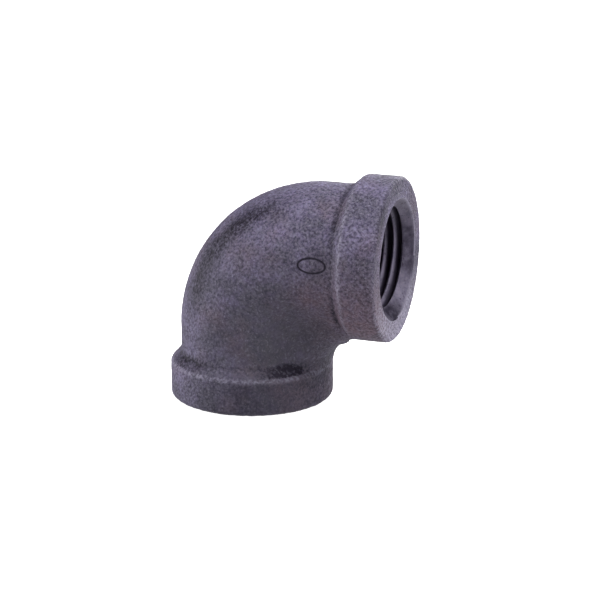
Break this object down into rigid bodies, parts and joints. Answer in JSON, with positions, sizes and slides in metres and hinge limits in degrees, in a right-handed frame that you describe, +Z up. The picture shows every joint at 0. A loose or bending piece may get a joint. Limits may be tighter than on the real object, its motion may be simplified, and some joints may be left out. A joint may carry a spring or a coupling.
{
  "type": "pipe elbow",
  "caption": "Banded 90-degree pipe elbow in black malleable iron, with a flush throat and a countersunk female taper thread in each mouth.",
  "frame": {"origin": "centre of the inlet's face, the ring that the elbow stands on", "axes": "+Z up along the inlet's axis, into the elbow; +X along the outlet's axis, out of its mouth, at z = 28.5 mm; the plane y = 0 holds both axes"},
  "size_m": [0.0439, 0.0308, 0.0439],
  "materials": {
    "black_iron": "sand-cast malleable iron with its dark annealing skin, dull grey-violet with pale grain; threads and countersinks are cut through the skin and are smoother and a little lighter"
  },
  "bodies": {
    "root": {"inlet_socket": "black_iron", "bend": "black_iron", "outlet_socket": "black_iron"}
  },
  "joints": []
}
